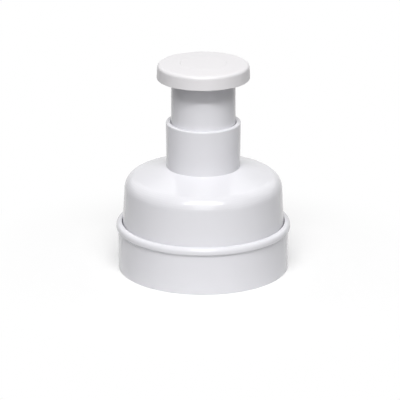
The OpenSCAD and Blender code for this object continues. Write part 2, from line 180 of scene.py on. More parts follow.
@dataclass(frozen=True)
class MouldedPlastic(Finish):
    """An injection-moulded thermoplastic, which shows its pigment, its mould's polish and slight sinks.

    Attributes:
        tone: Colour of the plastic.
        drift: Colour where the pigment lies a little denser.
        roughness: Roughness where the mould was polished best, and where it was not.
        ior: Index of refraction of the resin.
        specular: Strength of the clear reflection, where 0.5 is that of the index alone.
        sink_mm: Spacing of the slow waves that shrinkage leaves.
        sink_um: Height of those waves.
        grain_mm: Spacing of the fine grain of the mould's surface.
        grain_um: Height of that grain.
        cloud_mm: Size of the clouds in which pigment and filler flow.
        polish_mm: Size of the duller patches that hand polishing leaves on the mould.
    """

    tone: str = "#E8E8E8"
    drift: str = "#E4E4E4"
    roughness: tuple[float, float] = (0.2, 0.3)
    ior: float = 1.55
    specular: float = 0.4
    sink_mm: float = 9.0
    sink_um: float = 6.0
    grain_mm: float = 0.8
    grain_um: float = 0.25
    cloud_mm: float = 28.0
    polish_mm: float = 11.0

    def shade(self, tree: NodeTree) -> Node:
        """Add the nodes of this finish to a tree.

        Args:
            tree: The material's tree.

        Returns:
            The shader node that they end in.
        """
        place = add_node(tree, "ShaderNodeTexCoord").outputs["Object"]
        cloud, polish, sinks, grain = (
            add_node(tree, "ShaderNodeTexNoise",
                     {"Vector": place, "Scale": 1 / (size * MM), "Detail": detail, "Roughness": rough})
            for size, detail, rough in (
                (self.cloud_mm, 3.0, 0.55),
                (self.polish_mm, 4.0, 0.6),
                (self.sink_mm, 1.0, 0.5),
                # the real grain is some 0.1 mm, too fine to show, so it is drawn coarser
                (self.grain_mm, 2.0, 0.5),
            )
        )
        pigment = add_node(tree, "ShaderNodeMix", {0: cloud, 6: linear(self.tone), 7: linear(self.drift)},
                           data_type="RGBA")
        gloss = add_node(tree, "ShaderNodeMapRange",
                         {"Value": polish, "From Min": 0.3, "From Max": 0.7,
                          "To Min": self.roughness[0], "To Max": self.roughness[1]})
        waves = add_node(tree, "ShaderNodeBump",
                         {"Strength": 1.0, "Distance": self.sink_um * MICRON, "Height": sinks})
        skin = add_node(tree, "ShaderNodeBump", {"Strength": 1.0, "Distance": self.grain_um * MICRON,
                                                 "Height": grain, "Normal": waves})
        return add_node(tree, "ShaderNodeBsdfPrincipled",
                        {"Base Color": pigment.outputs[2], "Roughness": gloss, "IOR": self.ior,
                         "Specular IOR Level": self.specular, "Normal": skin})


@dataclass(frozen=True)
class BareMetal(Finish):
    """Uncoated metal that is clean in places and dulled in others.

    Attributes:
        tone: Colour of the clean metal.
        dull: Colour where it is dulled.
        roughness: Roughness of the clean metal, and where it is dulled.
    """

    tone: str = "#CFCFD2"
    dull: str = "#A9AAAE"
    roughness: tuple[float, float] = (0.18, 0.4)

    def worn(self, tree: NodeTree, marks: Node, limits: tuple[float, float], depth_um: float) -> Node:
        """Add the nodes of metal that is dulled along a pattern of marks.

        Args:
            tree: The material's tree.
            marks: The pattern, which is also the relief.
            limits: The pattern's value up to which the metal is clean, and from which it is all dulled.
            depth_um: Depth of the relief.

        Returns:
            The shader node that they end in.
        """
        dulled = add_node(tree, "ShaderNodeMapRange",
                          {"Value": marks, "From Min": limits[0], "From Max": limits[1]})
        tone = add_node(tree, "ShaderNodeMix", {0: dulled, 6: linear(self.tone), 7: linear(self.dull)},
                        data_type="RGBA")
        gloss = add_node(tree, "ShaderNodeMapRange",
                         {"Value": dulled, "To Min": self.roughness[0], "To Max": self.roughness[1]})
        relief = add_node(tree, "ShaderNodeBump",
                          {"Strength": 1.0, "Distance": depth_um * MICRON, "Height": marks})
        return add_node(tree, "ShaderNodeBsdfPrincipled",
                        {"Base Color": tone.outputs[2], "Metallic": 1.0, "Roughness": gloss,
                         "Normal": relief})


@dataclass(frozen=True)
class BrightSteel(BareMetal):
    """Stainless steel that was pressed, rolled or tumbled bright, with fine scuffs all over.

    Attributes:
        scuff_mm: Spacing of the scuffs.
        scuff_um: Depth of the scuffs.
    """

    scuff_mm: float = 0.7
    scuff_um: float = 2.0

    def shade(self, tree: NodeTree) -> Node:
        """Add the nodes of this finish to a tree.

        Args:
            tree: The material's tree.

        Returns:
            The shader node that they end in.
        """
        place = add_node(tree, "ShaderNodeTexCoord").outputs["Object"]
        # real scuffs are a tenth of a millimetre wide, too fine to show, so they are drawn coarser
        scuffs = add_node(tree, "ShaderNodeTexNoise",
                          {"Vector": place, "Scale": 1 / (self.scuff_mm * MM), "Detail": 5.0,
                           "Roughness": 0.65, "Distortion": 0.4})
        return self.worn(tree, scuffs, (0.42, 0.7), self.scuff_um)


@dataclass(frozen=True)
class DrawnWire(BareMetal):
    """Spring wire drawn through a die, which leaves long fine lines along it.

    Attributes:
        lines: Number of die lines round the wire.
        line_mm: Length of a die line.
        line_um: Depth of a die line.
    """

    tone: str = "#C3C4C7"
    dull: str = "#8E9095"
    roughness: tuple[float, float] = (0.2, 0.42)
    lines: float = 22.0
    line_mm: float = 14.0
    line_um: float = 3.0

    def shade(self, tree: NodeTree) -> Node:
        """Add the nodes of this finish to a tree.

        Args:
            tree: The material's tree.

        Returns:
            The shader node that they end in.
        """
        along, across = (add_node(tree, "ShaderNodeAttribute", attribute_name=name).outputs["Fac"]
                         for name in ("along", "across"))
        # a die leaves hundreds of lines, too fine to show, so they are drawn fewer and coarser
        run, turn = (add_node(tree, "ShaderNodeMath", {0: way, 1: rate}, operation="MULTIPLY")
                     for way, rate in ((along, 1 / (self.line_mm * MM)), (across, self.lines)))
        unrolled = add_node(tree, "ShaderNodeCombineXYZ", {"X": run, "Y": turn})
        streaks = add_node(tree, "ShaderNodeTexNoise",
                           {"Vector": unrolled, "Scale": 1.0, "Detail": 3.0, "Roughness": 0.6},
                           noise_dimensions="2D")
        return self.worn(tree, streaks, (0.38, 0.62), self.line_um)


# high-impact polystyrene from a polished mould: an even, faintly cool white with crisp highlights
SHELL_WHITE = MouldedPlastic("polystyrene_gloss_moulded_white", Slot.SHELL,
                             "#E8E8EC", "#E5E4E9", (0.11, 0.17), 1.55)
# the same resin from a less polished mould: a shade warmer, with softer highlights
KNOB_WHITE = MouldedPlastic("polystyrene_gloss_moulded_warm_white", Slot.KNOB,
                            "#EAE8EA", "#E7E5E7", (0.29, 0.36), 1.55)
# the same resin with a satin mould face, so that meat and paper let go: a dull, even sheen
PLATE_WHITE = MouldedPlastic("polystyrene_satin_moulded_white", Slot.PLATE,
                             "#E6E7EA", "#E2E3E6", (0.30, 0.40), 1.55, grain_mm=0.6, grain_um=1.5)
# unpigmented acetal, moulded: milky, slightly yellow, waxy rather than glossy
ACETAL_NATURAL = MouldedPlastic("acetal_natural_moulded", Slot.ACETAL,
                                "#E2E1D8", "#DCDBD0", (0.34, 0.46), 1.48, grain_mm=0.5, grain_um=1.0)
# stainless spring wire, drawn: bright, with long fine darker lines along it
SPRING_WIRE = DrawnWire("stainless_spring_wire_drawn", Slot.SPRING)
# cold-headed and rolled screws, tumbled: bright all over, with fine scuffs
SCREW_STEEL = BrightSteel("stainless_screw_cold_headed", Slot.STAINLESS)
# stamped from sheet: flatter and duller than a screw, with longer scuffs
SHEET_STEEL = BrightSteel("stainless_sheet_stamped", Slot.STAINLESS, "#C6C7CA", "#A2A4A8",
                          (0.26, 0.46), 1.6, 1.5)


# Meshes turned round the axis


def hexagon(corner_r: float) -> Radius:
    """Give the outline of a hexagon with one corner towards +X, as a radius at each angle.

    Args:
        corner_r: Radius of its corners.

    Returns:
        The radius as a function of the angle, in radians.
    """
    sixth = math.pi / 3

    def radius(turn: float) -> float:
        """Give the radius at an angle."""
        return corner_r * math.cos(sixth / 2) / math.cos(turn % sixth - sixth / 2)

    return radius


def cross(reach: float, width: float) -> Radius:
    """Give the outline of a cross recess, as a radius at each angle.

    Args:
        reach: Distance from the middle to the end of an arm.
        width: Width of an arm.

    Returns:
        The radius as a function of the angle, in radians.
    """
    quarter = math.pi / 2

    def radius(turn: float) -> float:
        """Give the radius at an angle.

        Args:
            turn: The angle, in radians.

        Returns:
            The radius.
        """
        off = abs((turn + quarter / 2) % quarter - quarter / 2)
        end = reach / math.cos(off)
        return end if off == 0 else min(end, width / 2 / math.sin(off))

    return radius


@dataclass(frozen=True)
class Ring:
    """One line round the axis.

    Attributes:
        z: Its height.
        radius: Its radius, or its radius as a function of the angle; 0 makes a pole.
    """

    z: float
    radius: float | Radius

    def points(self, columns: int) -> list[tuple[float, float, float]]:
        """List the ring's points.

        Args:
            columns: Number of points round it.

        Returns:
            The points in metres, or the one point of a pole.
        """
        if self.radius == 0:
            return [(0.0, 0.0, self.z * MM)]
        turns = [2 * math.pi * i / columns for i in range(columns)]
        reach = self.radius if callable(self.radius) else lambda _: self.radius
        return [(reach(t) * math.cos(t) * MM, reach(t) * math.sin(t) * MM, self.z * MM) for t in turns]


def arc(centre: tuple[float, float], r: float, first: float, last: float, steps: int = 6) -> list[Ring]:
    """List the rings of a rounded edge.

    Args:
        centre: Radius and height of the arc's centre.
        r: Radius of the arc.
        first: Angle at which it starts, in degrees, with 0 outwards and 90 up.
        last: Angle at which it ends.
        steps: Number of its chords.

    Returns:
        The rings in order.
    """
    turns = [math.radians(first + (last - first) * i / steps) for i in range(steps + 1)]
    return [Ring(centre[1] + r * math.sin(t), centre[0] + r * math.cos(t)) for t in turns]


def finish_mesh(mesh: Mesh, sharp_deg: float = 32.0) -> None:
    """Turn the faces of a closed mesh outwards and shade it smooth, except at its sharp edges.

    Args:
        mesh: The mesh.
        sharp_deg: Angle between two faces from which their edge stays sharp.
    """
    work = bmesh.new()
    work.from_mesh(mesh)
    bmesh.ops.recalc_face_normals(work, faces=work.faces)
    work.to_mesh(mesh)
    work.free()
    mesh.shade_smooth()
    mesh.set_sharp_from_angle(angle=math.radians(sharp_deg))


def turned(name: str, rings: list[Ring], columns: int, ends: Lathe = Lathe.POLES) -> Object:
    """Make a closed mesh from rings round the axis.

    Args:
        name: The object's name.
        rings: The rings in order along the section.
        columns: Number of points round a ring.
        ends: Whether the section ends in poles or closes on itself.

    Returns:
        The object, linked to the scene.
    """
    points: list[tuple[float, float, float]] = []
    rows: list[list[int]] = []
    for ring in rings:
        new = ring.points(columns)
        rows.append(list(range(len(points), len(points) + len(new))))
        points += new
    if ends is Lathe.HOOP:
        rows.append(rows[0])
    faces = []
    for low, high in zip(rows, rows[1:]):
        for i in range(columns):
            # the diagonal follows a right-handed thread
            a, b = low[i % len(low)], low[(i + 1) % columns % len(low)]
            c, d = high[(i + 1) % columns % len(high)], high[i % len(high)]
            faces += [f for f in ((a, b, c), (a, c, d)) if len(set(f)) == 3]
    mesh = bpy.data.meshes.new(name)
    mesh.from_pydata(points, [], faces)
    finish_mesh(mesh)
    piece = bpy.data.objects.new(name, mesh)
    bpy.context.scene.collection.objects.link(piece)
    return piece


@dataclass(frozen=True)
class Thread:
    """A right-handed thread, as a surface round the axis.

    Attributes:
        root_r: Radius of the surface that it rises from.
        depth: Height of its ridge; a negative depth makes the thread of a nut.
        lead: Rise in a turn.
        crest: Share of the lead that the crest takes.
        flank: Share of the lead that each flank takes.
        shift: Where the middle of the crest lies, as a share of the lead.
    """

    root_r: float
    depth: float
    lead: float
    crest: float = 0.28
    flank: float = 0.2
    shift: float = 0.0

    def rise(self, z: float, turn: float) -> float:
        """Return the ridge's height as a share of its depth, at a height and an angle."""
        off = abs((z / self.lead - turn / (2 * math.pi) - self.shift + 0.5) % 1.0 - 0.5)
        return min(1.0, max(0.0, (self.crest / 2 + self.flank - off) / self.flank))

    def rings(self, low: float, high: float, columns: int, fade: float = 0.0) -> list[Ring]:
        """List the thread's rings.

        Args:
            low: Height at which it starts.
            high: Height at which it ends.
            columns: Number of points round a ring, and of rings in a lead.
            fade: Length over which it runs out at each end, or 0.

        Returns:
            The rings, upwards.
        """
        step = self.lead / columns
        between = range(math.floor(low / step) + 1, math.ceil(high / step))
        heights = [low, *(i * step for i in between), high]

        def ring(z: float) -> Ring:
            """Make the ring at one height."""
            run = min(1.0, (z - low) / fade, (high - z) / fade) if fade else 1.0
            return Ring(z, lambda turn: self.root_r + self.depth * run * self.rise(z, turn))

        return [ring(z) for z in heights]


@dataclass(frozen=True)
class PanScrew:
    """A pan-head screw with a cross recess, its head on the origin's plane and its shank below.

    Attributes:
        shank_r: Radius of the thread's crest.
        length: Length under the head.
        head_r: Radius of the head.
        head_h: Height of the head.
        lead: Lead of the thread.
        columns: Number of points round it.
        thread_share: Depth of the thread, as a share of the shank's radius.
        mouth_share: Reach and width of the recess at its mouth, as shares of the head's radius.
        floor_share: The same at its floor.
        floor_at: Height of its floor at the rim and in the middle, as shares of the head's height.
        rim: Width of the bevel round the head's underside.
        bare: Length of the plain shank that is left under the head.
        fillet: Height of the fillet between shank and head.
    """

    shank_r: float
    length: float
    head_r: float
    head_h: float
    lead: float
    columns: int = 36
    thread_share: float = 0.22
    mouth_share: tuple[float, float] = (0.5, 0.26)
    floor_share: tuple[float, float] = (0.3, 0.2)
    floor_at: tuple[float, float] = (0.35, 0.25)
    rim: float = 0.12
    bare: float = 0.4
    fillet: float = 0.15

    def make(self, name: str) -> Object:
        """Make the screw at the origin.

        Args:
            name: The object's name.

        Returns:
            The screw.
        """
        depth = self.thread_share * self.shank_r
        root_r = self.shank_r - depth
        thread = Thread(root_r, depth, self.lead, crest=0.12, flank=0.3)
        crown = self.head_h / 2
        mouth, floor = (cross(reach * self.head_r, width * self.head_r)
                        for reach, width in (self.mouth_share, self.floor_share))
        tip = 0.5 * root_r
        rings = [
            Ring(-self.length, 0),
            Ring(-self.length, tip),
            Ring(-self.length + tip, root_r),
            *thread.rings(-self.length + tip + HAIR, -self.bare, self.columns, fade=0.8 * self.lead),
            Ring(-self.fillet, root_r),
            Ring(0.0, self.shank_r),
            Ring(0.0, self.head_r - self.rim),
            Ring(self.rim, self.head_r),
            *arc((self.head_r - crown, self.head_h - crown), crown, 0, 90),
            Ring(self.head_h, mouth),
            Ring(self.floor_at[0] * self.head_h, floor),
            Ring(self.floor_at[1] * self.head_h, 0),
        ]
        return turned(name, rings, self.columns)


def place(piece: Object, z: float, head_down: bool = False) -> Object:
    """Bake a height on the axis, and a half turn about X where asked, into a piece's mesh.

    Args:
        piece: A piece made at the origin.
        z: Height of the origin's plane in its place, in metres.
        head_down: Whether the piece is turned over.

    Returns:
        The same piece.
    """
    over = Matrix.Rotation(math.pi, 4, "X") if head_down else Matrix.Identity(4)
    piece.data.transform(Matrix.Translation((0, 0, z)) @ over)
    return piece


def stamped_washer(
    name: str, inner: float, outer: float, low: float, high: float, burr: float = 0.04, columns: int = 72
) -> Object:
    """Make a washer that was punched from sheet: rounded where the punch went in, sharp where it came out.

    Args:
        name: The object's name.
        inner: Radius of the hole.
        outer: Radius of the washer.
        low: Height of its lower face.
        high: Height of its upper face.
        burr: Width of the edge where the punch came out.
        columns: Number of points round it.

    Returns:
        The washer.
    """
    roll = 0.3 * (high - low)
    rings = [
        Ring(low, inner),
        Ring(low, outer - burr),
        Ring(low + burr, outer),
        *arc((outer - roll, high - roll), roll, 0, 90),
        *arc((inner + roll, high - roll), roll, 90, 180),
    ]
    return turned(name, rings, columns, Lathe.HOOP)


# Geometry Nodes


@dataclass
class Growth:
    """A Geometry Nodes tree under construction, with named inputs.

    Attributes:
        name: The tree's name.
        inputs: Name of each input against its socket type and its value.
        tree: The tree itself.
        source: Its input node.
        keys: Name of each input against its socket's identifier.
    """

    name: str
    inputs: dict[str, tuple[str, Any]]
    tree: NodeTree = field(init=False)
    source: Node = field(init=False)
    keys: dict[str, str] = field(init=False, default_factory=dict)

    def __post_init__(self) -> None:
        """Make the empty tree and its inputs."""
        self.tree = bpy.data.node_groups.new(self.name, "GeometryNodeTree")
        self.tree.interface.new_socket("Geometry", in_out="OUTPUT", socket_type="NodeSocketGeometry")
        for name, (kind, _) in self.inputs.items():
            socket = self.tree.interface.new_socket(name, in_out="INPUT", socket_type=kind)
            self.keys[name] = socket.identifier
        self.source = self.tree.nodes.new("NodeGroupInput")

    def size(self, name: str) -> NodeSocket:
        """Return the socket of a named input."""
        return self.source.outputs[name]

    def grow(self, geometry: Node, finish: Finish) -> Object:
        """End the tree, run it and keep its result as a plain mesh.

        Args:
            geometry: The node that gives the finished shape.
            finish: The finish of its material.

        Returns:
            The object, at the origin and with no modifier.
        """
        real = add_node(self.tree, "GeometryNodeRealizeInstances", {"Geometry": geometry})
        dressed = add_node(self.tree, "GeometryNodeSetMaterial",
                           {"Geometry": real, "Material": finish.material()})
        add_node(self.tree, "NodeGroupOutput", {0: dressed})
        host = bpy.data.objects.new(self.name, bpy.data.meshes.new(self.name))
        bpy.context.scene.collection.objects.link(host)
        modifier = host.modifiers.new(self.name, "NODES")
        modifier.node_group = self.tree
        for name, (_, value) in self.inputs.items():
            modifier[self.keys[name]] = value
        depsgraph = bpy.context.evaluated_depsgraph_get()
        depsgraph.update()
        mesh = bpy.data.meshes.new_from_object(host.evaluated_get(depsgraph))
        host.modifiers.remove(modifier)
        host.data = mesh
        mesh.name = self.name
        finish_mesh(mesh)
        return host


def ring_of(
    name: str, master: Object, count: int, radius: float, first_deg: float, finish: Finish
) -> Object:
    """Set copies of a piece round the axis, each turned by its own chance angle.

    Args:
        name: Name of the new piece.
        master: The piece to copy, on the axis at its height; it is removed afterwards.
        count: Number of copies.
        radius: Distance of the copies from the axis, in metres.
        first_deg: Angle of the first copy.
        finish: The finish of the copies.

    Returns:
        The copies as one object.
    """
    growth = Growth(name, {
        "Piece": ("NodeSocketObject", master),
        "Count": ("NodeSocketInt", count),
        "Radius": ("NodeSocketFloat", radius),
        "First Angle": ("NodeSocketFloat", math.radians(first_deg)),
        "Seed": ("NodeSocketInt", SEED),
    })
    tree = growth.tree
    places = add_node(tree, "GeometryNodeMeshCircle",
                      {"Vertices": growth.size("Count"), "Radius": growth.size("Radius")})
    turn = add_node(tree, "ShaderNodeCombineXYZ", {"Z": growth.size("First Angle")})
    aligned = add_node(tree, "GeometryNodeTransform", {"Geometry": places, "Rotation": turn})
    screw = add_node(tree, "GeometryNodeObjectInfo", {"Object": growth.size("Piece")})
    chance = add_node(tree, "FunctionNodeRandomValue",
                      {"Max": 2 * math.pi, "Seed": growth.size("Seed")}, data_type="FLOAT")
    angle = next(o for o in chance.outputs if o.enabled)
    spin = add_node(tree, "ShaderNodeCombineXYZ", {"Z": angle})
    copies = add_node(tree, "GeometryNodeInstanceOnPoints",
                      {"Points": aligned, "Instance": screw.outputs["Geometry"], "Rotation": spin})
    piece = growth.grow(copies, finish)
    mesh = master.data
    bpy.data.objects.remove(master)
    bpy.data.meshes.remove(mesh)
    return piece


# Sub-assemblies


class SubAssembly:
    """Pieces that move together on one body.

    Attributes:
        body: The body that they ride on.
        finishes: Finish of each moulding that keeps its modelled shape.
    """

    body = "base"
    finishes: dict[str, Finish] = {}

    def dress(self) -> None:
        """Give each moulding that keeps its modelled shape its finish."""
        for name, finish in self.finishes.items():
            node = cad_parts[name]
            node.data.materials.clear()
            node.data.materials.append(finish.material())
            log.info("%s: %s", name, finish.name)

    def stand_in(self, piece: Object, node: str, finish: Finish) -> Object:
        """Put a finer piece in the place of a plain solid.

        Args:
            piece: The new piece.
            node: The solid that it replaces.
            finish: The piece's finish.

        Returns:
            The piece.
        """
        piece.data.materials.clear()
        piece.data.materials.append(finish.material())
        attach(piece, self.body)
        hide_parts(node)
        log.info("%s: %s, %d faces", piece.name, finish.name, len(piece.data.polygons))
        return piece

    def build(self) -> None:
        """Make the fine pieces of this sub-assembly."""


def span(node: str) -> tuple[float, float]:
    """Return the lowest and the highest height of a node at rest."""
    low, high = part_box(node)
    return low[2] / MM, high[2] / MM


class Cup(SubAssembly):
    """The cup that the housing stands in."""

    body = "base"
    finishes = {"base_cup": SHELL_WHITE}


@dataclass
class Spring:
    """A compression spring with closed and ground ends.

    Attributes:
        wire: Diameter of the wire.
        coil_r: Radius to the middle of the wire.
        turns: Number of turns, the closed ones included.
        closed: Rise of a closed turn.
        ground: Share of the wire's radius that is ground away at each end.
        steps: Number of steps in a turn.
        sides: Number of points round the wire.
    """

    wire: float = 2.2
    coil_r: float = 17.6
    turns: int = 9
    closed: float = 2.3
    ground: float = 0.5
    steps: int = 64
    sides: int = 14

    def grow(self, low: float, high: float) -> Object:
        """Make the spring.

        Args:
            low: Height of its ground foot.
            high: Height of its ground head.

        Returns:
            The spring, with the length and the turn of its wire as attributes.
        """
        wire_r = self.wire / 2
        sunk = self.ground * wire_r
        climb = high - low + 2 * sunk - self.wire
        growth = Growth("return_spring_wound", {
            "Wire Radius": ("NodeSocketFloat", wire_r * MM),
            "Coil Radius": ("NodeSocketFloat", self.coil_r * MM),
            "Turns": ("NodeSocketFloat", float(self.turns)),
            "Closed Rise": ("NodeSocketFloat", self.closed * MM),
            "Open Rise": ("NodeSocketFloat", (climb - self.turns * self.closed) * MM),
            "Foot": ("NodeSocketFloat", low * MM),
            "Head": ("NodeSocketFloat", high * MM),
            "Start": ("NodeSocketFloat", (low + wire_r - sunk) * MM),
            "Steps": ("NodeSocketInt", self.turns * self.steps),
        })
        tree, size = growth.tree, growth.size
        count = add_node(tree, "ShaderNodeMath", {0: size("Steps"), 1: 1.0}, operation="ADD")
        line = add_node(tree, "GeometryNodeMeshLine", {"Count": count})
        path = add_node(tree, "GeometryNodeMeshToCurve", {"Mesh": line})
        number = add_node(tree, "GeometryNodeInputIndex")
        turn = add_node(tree, "ShaderNodeMapRange",
                        {"Value": number, "From Max": size("Steps"), "To Max": size("Turns")})
        # the first and the last turn lie closed, and the open turns share what rise is left
        closed = add_node(tree, "ShaderNodeMath", {0: turn, 1: size("Closed Rise")}, operation="MULTIPLY")
        open_end = add_node(tree, "ShaderNodeMath", {0: size("Turns"), 1: 1.0}, operation="SUBTRACT")
        opened = add_node(tree, "ShaderNodeMapRange", {"Value": turn, "From Min": 1.0, "From Max": open_end,
                                                       "To Max": size("Open Rise")})
        rise = add_node(tree, "ShaderNodeMath", {0: closed, 1: opened}, operation="ADD")
        height = add_node(tree, "ShaderNodeMath", {0: rise, 1: size("Start")}, operation="ADD")
        angle = add_node(tree, "ShaderNodeMath", {0: turn, 1: 2 * math.pi}, operation="MULTIPLY")
        cosine = add_node(tree, "ShaderNodeMath", {0: angle}, operation="COSINE")
        sine = add_node(tree, "ShaderNodeMath", {0: angle}, operation="SINE")
        x, y = (add_node(tree, "ShaderNodeMath", {0: wave, 1: size("Coil Radius")}, operation="MULTIPLY")
                for wave in (cosine, sine))
        point = add_node(tree, "ShaderNodeCombineXYZ", {"X": x, "Y": y, "Z": height})
        helix = add_node(tree, "GeometryNodeSetPosition", {"Geometry": path, "Position": point})
        upright = add_node(tree, "GeometryNodeSetCurveNormal", {"Curve": helix}, mode="Z_UP")
        section = add_node(tree, "GeometryNodeCurvePrimitiveCircle",
                           {"Resolution": self.sides, "Radius": size("Wire Radius")})
        # the wire carries how far along and how far round it each point is, for its die lines
        spline = add_node(tree, "GeometryNodeSplineParameter").outputs
        along, across = (
            add_node(tree, "GeometryNodeStoreNamedAttribute",
                     {"Geometry": curve, "Name": name, "Value": spline[measure]},
                     data_type="FLOAT", domain="POINT")
            for curve, name, measure in ((upright, "along", "Length"), (section, "across", "Factor"))
        )
        wire = add_node(tree, "GeometryNodeCurveToMesh",
                        {"Curve": along, "Profile Curve": across, "Fill Caps": True})
        # both ends are ground flat, square to the axis
        here = add_node(tree, "GeometryNodeInputPosition")
        x, y, z = add_node(tree, "ShaderNodeSeparateXYZ", {"Vector": here}).outputs
        level = add_node(tree, "ShaderNodeClamp", {"Value": z, "Min": size("Foot"), "Max": size("Head")})
        flat = add_node(tree, "ShaderNodeCombineXYZ", {"X": x, "Y": y, "Z": level})
        ground = add_node(tree, "GeometryNodeSetPosition", {"Geometry": wire, "Position": flat})
        return growth.grow(ground, SPRING_WIRE)


@dataclass
class Housing(SubAssembly):
    """The dome with the guide plate screwed under it, and the spring that stands on that plate.

    Attributes:
        screw: The screws under the guide plate.
        screw_count: Their number.
        screw_at: Their distance from the axis.
        screw_first: Angle of the first of them.
        spring: The return spring.
        seat_r: Inner and outer radius of the washer that it stands on.
        anchor: Height of the spring's fixed end; not used.
        stroke: Travel of the plunger; not used.
    """

    screw: PanScrew = PanScrew(1.95, 7.0, 3.6, 2.2, 1.6)
    screw_count: int = 3
    screw_at: float = 36.0
    screw_first: float = 0.0
    spring: Spring = field(default_factory=Spring)
    seat_r: tuple[float, float] = (16.05, 19.35)
    anchor: float = 72.3
    stroke: float = 31.75

    body = "housing"
    finishes = {"housing": SHELL_WHITE, "guide_plate": ACETAL_NATURAL}

    def build(self) -> None:
        """Make the spring, its steel seat and the three screws."""
        low, high = span("return_spring")
        spring = self.stand_in(self.spring.grow(low, high), "return_spring", SPRING_WIRE)
        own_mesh(spring)
        low, high = span("spring_seat")
        seat = stamped_washer("spring_seat_stamped", *self.seat_r, low, high)
        self.stand_in(seat, "spring_seat", SHEET_STEEL)
        guide_z = span("guide_plate")[0]
        master = place(self.screw.make("guide_screw"), guide_z * MM, head_down=True)
        screws = ring_of("guide_screws_threaded", master, self.screw_count, self.screw_at * MM,
                         self.screw_first, SCREW_STEEL)
        self.stand_in(screws, "guide_screws", SCREW_STEEL)


class Plunger(SubAssembly):
    """The thrust washer that the spring pushes up against the sleeve."""

    body = "plunger"
    finishes = {"thrust_washer": ACETAL_NATURAL}


@dataclass
class FeedThread:
    """The coarse thread that sets the plate's height.

    Attributes:
        lead: Rise in a turn.
        crest_r: Radius of the screw's crest.
        depth: Depth of the thread.
        play: Radial play between screw and nut.
        columns: Number of points round it.
    """

    lead: float = 6.35
    crest_r: float = 7.0
    depth: float = 1.5
    play: float = 0.08
    columns: int = 48


@dataclass
class Knob(SubAssembly):
    """The knob, its sleeve, and the spindle that turns with them.

    Attributes:
        feed: The spindle's thread.
        collar_r: Radius of the spindle's collar.
        collar_h: Height of the collar.
        drive_r: Corner radius of the hexagon that drives the spindle.
        drive_h: Height of the hexagon.
        bevel: Width of the spindle's broken edges.
        edge: The same at the collar's upper edge.
        relief: Width of the runouts between its thread and its plain ends.
        neck: Length of the plain shank under the collar.
        runout: Length over which the thread runs out.
        screw: The screw under the cap.
        screw_hole: Radius and depth of its hole.
        mouth: Width of the countersink at that hole.
        washer_r: Inner and outer radius of its washer.
        stop_screw: The screw at the spindle's foot.
        stop_hole: Radius and depth of its hole.
        stop_washer_r: Inner and outer radius of its washer.
    """

    feed: FeedThread = field(default_factory=FeedThread)
    collar_r: float = 8.6
    collar_h: float = 6.0
    drive_r: float = 6.0
    drive_h: float = 4.9
    bevel: float = 0.4
    edge: float = 0.15
    relief: float = 0.8
    neck: float = 2.0
    runout: float = 2.4
    screw: PanScrew = PanScrew(2.45, 14.0, 4.75, 2.8, 2.0)
    screw_hole: tuple[float, float] = (2.55, 13.2)
    mouth: float = 0.35
    washer_r: tuple[float, float] = (2.6, 8.0)
    stop_screw: PanScrew = PanScrew(1.95, 10.0, 3.6, 2.2, 1.6)
    stop_hole: tuple[float, float] = (2.05, 9.3)
    stop_washer_r: tuple[float, float] = (2.1, 8.25)

    body = "knob"
    finishes = {"palm_knob": KNOB_WHITE, "knob_cap": KNOB_WHITE, "stem_sleeve": SHELL_WHITE}

    def spindle(self) -> Object:
        """Make the spindle with its thread, its collar, its hexagon and a screw hole at each end.

        Returns:
            The spindle.
        """
        low, high = span("spindle")
        shoulder = high - self.drive_h
        collar = shoulder - self.collar_h
        feed = self.feed
        root_r = feed.crest_r - feed.depth
        bevel, relief = self.bevel, self.relief
        drive = hexagon(self.drive_r)
        thread = Thread(root_r, feed.depth, feed.lead)
        (foot_r, foot_l), (head_r, head_l) = self.stop_hole, self.screw_hole
        plain = collar - self.neck
        rings = [
            Ring(low + foot_l, 0),
            Ring(low + foot_l, foot_r),
            Ring(low + bevel, foot_r),
            Ring(low, foot_r + bevel),
            Ring(low, root_r - relief),
            Ring(low + relief, root_r),
            *thread.rings(low + relief + HAIR, plain, feed.columns, fade=self.runout),
            Ring(plain + HAIR, root_r),
            Ring(collar - relief, root_r),
            Ring(collar, root_r + relief),
            Ring(collar, self.collar_r - bevel),
            Ring(collar + bevel, self.collar_r),
            Ring(shoulder - self.edge, self.collar_r),
            Ring(shoulder, self.collar_r - self.edge),
            Ring(shoulder, drive),
            Ring(high - bevel, drive),
            Ring(high, hexagon(self.drive_r - bevel)),
            Ring(high, head_r + self.mouth),
            Ring(high - bevel, head_r),
            Ring(high - head_l, head_r),
            Ring(high - head_l, 0),
        ]
        return turned("spindle_threaded", rings, feed.columns)

    def build(self) -> None:
        """Make the spindle and the screws and washers at its two ends."""
        self.stand_in(self.spindle(), "spindle", ACETAL_NATURAL)
        for end, screw, washer_r, head_down in (
            ("knob", self.screw, self.washer_r, False),
            ("stop", self.stop_screw, self.stop_washer_r, True),
        ):
            low, high = span(f"{end}_washer")
            washer = stamped_washer(f"{end}_washer_stamped", *washer_r, low, high)
            self.stand_in(washer, f"{end}_washer", SHEET_STEEL)
            seat = (low if head_down else high) * MM
            piece = place(screw.make(f"{end}_screw_threaded"), seat, head_down)
            self.stand_in(piece, f"{end}_screw", SCREW_STEEL)


